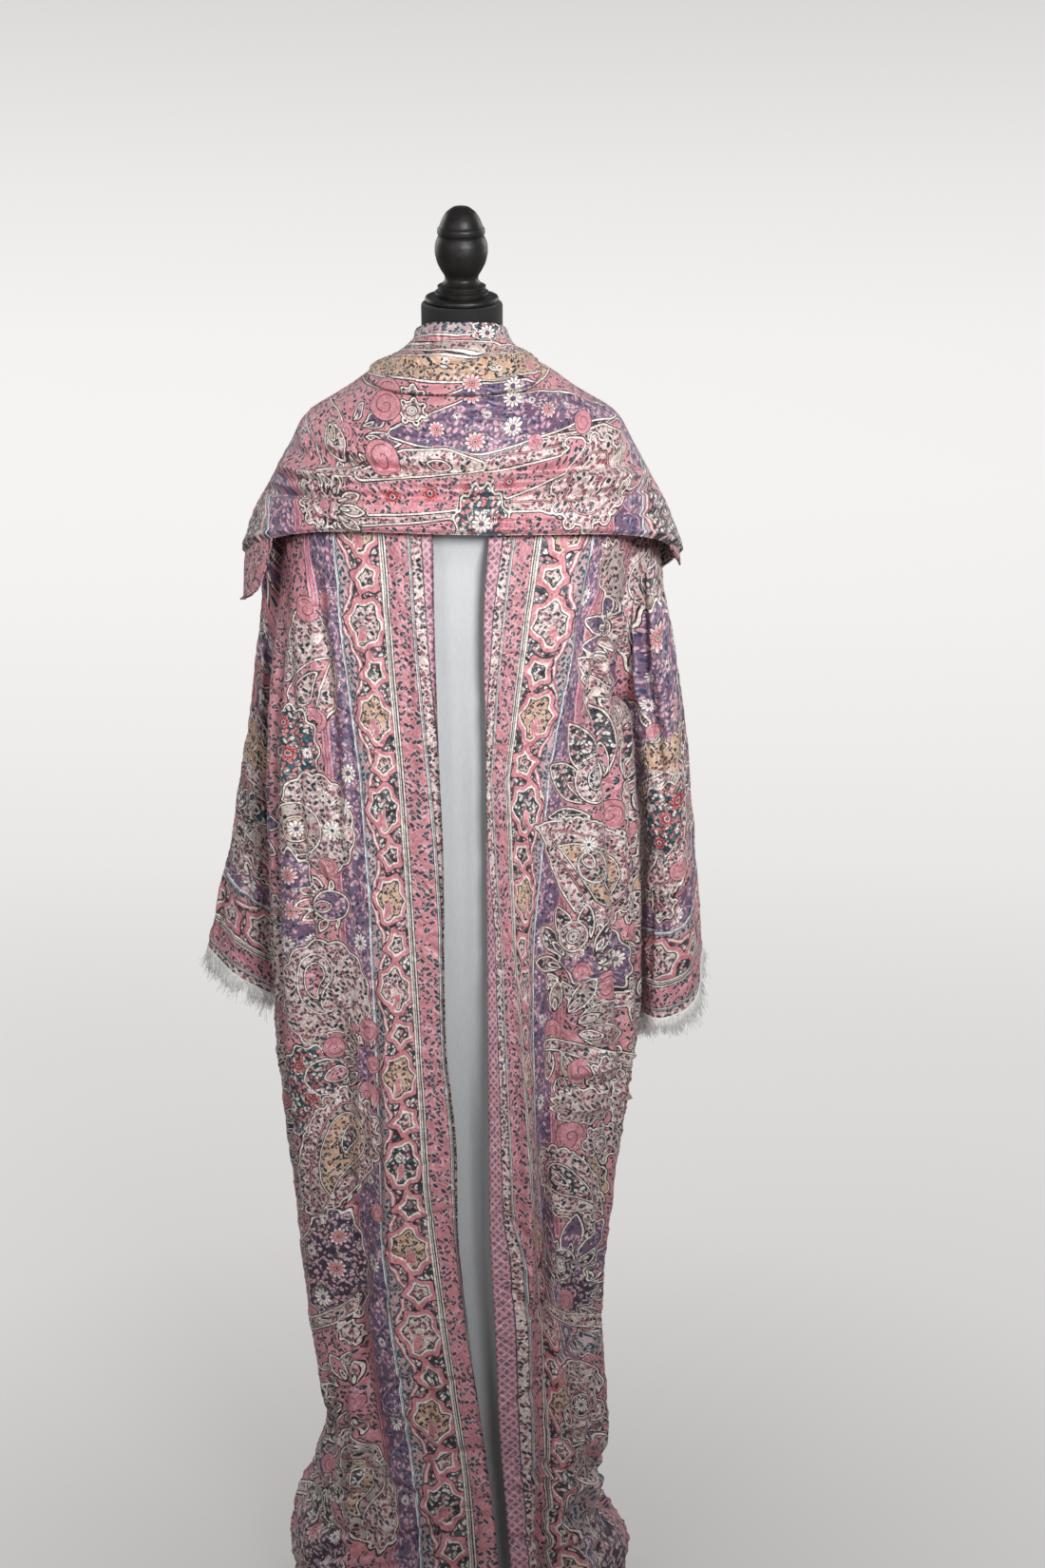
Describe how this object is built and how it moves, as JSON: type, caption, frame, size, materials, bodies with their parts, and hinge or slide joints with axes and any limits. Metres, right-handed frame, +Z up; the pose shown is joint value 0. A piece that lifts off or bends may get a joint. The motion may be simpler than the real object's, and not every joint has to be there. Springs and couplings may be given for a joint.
{
  "type": "open abaya with matching shawl on a dress form",
  "caption": "Floor-length open-front abaya with wide fringed sleeves and a wound shawl, worn by a limbless dress form on a round base.",
  "frame": {"origin": "on the floor, at the centre of the round base's underside, on the pole's axis", "axes": "+Z up, the open front faces -Y, +X is the viewer's right seen from the front"},
  "size_m": [0.6129, 0.3775, 1.7174],
  "materials": {
    "paisley_cloth": "soft satin-faced paisley jacquard in pinks, purple, cream, teal and charcoal",
    "shawl_cloth": "the same soft paisley jacquard, folded double",
    "inner_cloth": "plain pale grey cloth, matt",
    "fringe_thread": "frayed white thread",
    "black_wood": "turned wood, satin black paint",
    "black_knit": "black knit cover, matt",
    "black_metal": "black tube, satin"
  },
  "bodies": {
    "root": {"front_left": "paisley_cloth", "front_right": "paisley_cloth", "back": "paisley_cloth", "sleeve_left": "paisley_cloth", "sleeve_right": "paisley_cloth", "fringe_left": "fringe_thread", "fringe_right": "fringe_thread", "inner_panel": "inner_cloth", "shawl_neck": "shawl_cloth", "shawl_front": "shawl_cloth", "shawl_back": "shawl_cloth", "shawl_end_back": "shawl_cloth", "shawl_end_left": "shawl_cloth", "shawl_end_right": "shawl_cloth", "torso": "black_knit", "neck_cap": "black_wood", "finial": "black_wood", "pole": "black_metal", "base": "black_wood"}
  },
  "joints": []
}
